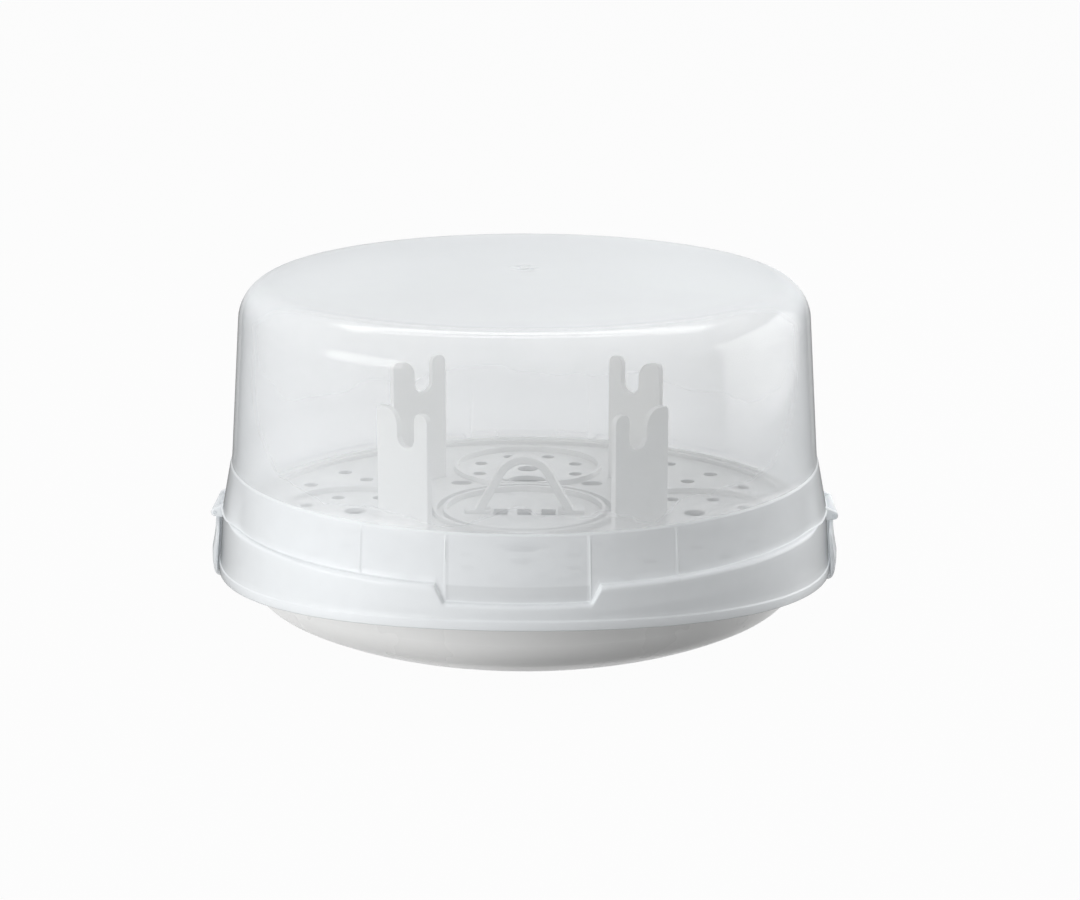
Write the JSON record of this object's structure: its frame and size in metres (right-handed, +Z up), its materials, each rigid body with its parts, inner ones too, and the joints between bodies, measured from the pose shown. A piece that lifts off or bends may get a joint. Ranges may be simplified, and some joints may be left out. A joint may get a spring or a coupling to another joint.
{
  "type": "microwave bottle sterilizer",
  "caption": "Round microwave steam sterilizer: shallow white bowl, holed tray with bottle posts and a lifting handle, frosted domed lid and a hinged clip at each side.",
  "frame": {"origin": "centre of the foot ring, on the surface that the bowl stands on", "axes": "+Z up; X across the two side clips, right clip at +X; front panel toward -Y"},
  "size_m": [0.2854, 0.2784, 0.163],
  "materials": {
    "bowl_white": "glossy white polypropylene",
    "tray_white": "satin white polypropylene",
    "lid_frosted": "translucent frosted polypropylene, glossy outside",
    "clip_frosted": "translucent frosted polypropylene"
  },
  "bodies": {
    "bowl": {"base_bowl": "bowl_white"},
    "tray": {"tray": "tray_white", "front_left_post": "tray_white", "front_right_post": "tray_white", "rear_left_post": "tray_white", "rear_right_post": "tray_white", "lifting_handle": "tray_white"},
    "lid": {"lid": "lid_frosted"},
    "left_clip": {"left_clip": "clip_frosted"},
    "right_clip": {"right_clip": "clip_frosted"}
  },
  "joints": [
    {"name": "tray_lift", "type": "slide", "parent": "bowl", "child": "tray", "axis": [0, 0, 1], "range_m": [0, 0.12]},
    {"name": "lid_lift", "type": "slide", "parent": "tray", "child": "lid", "axis": [0, 0, 1], "range_m": [0, 0.15]},
    {"name": "right_clip_hinge", "type": "hinge", "parent": "lid", "child": "right_clip", "pos_m": [0.14019, 0, 0.0528], "axis": [0, -1, 0], "range_deg": [0, 90]},
    {"name": "left_clip_hinge", "type": "hinge", "parent": "lid", "child": "left_clip", "pos_m": [-0.14019, 0, 0.0528], "axis": [0, 1, 0], "range_deg": [0, 90]}
  ]
}
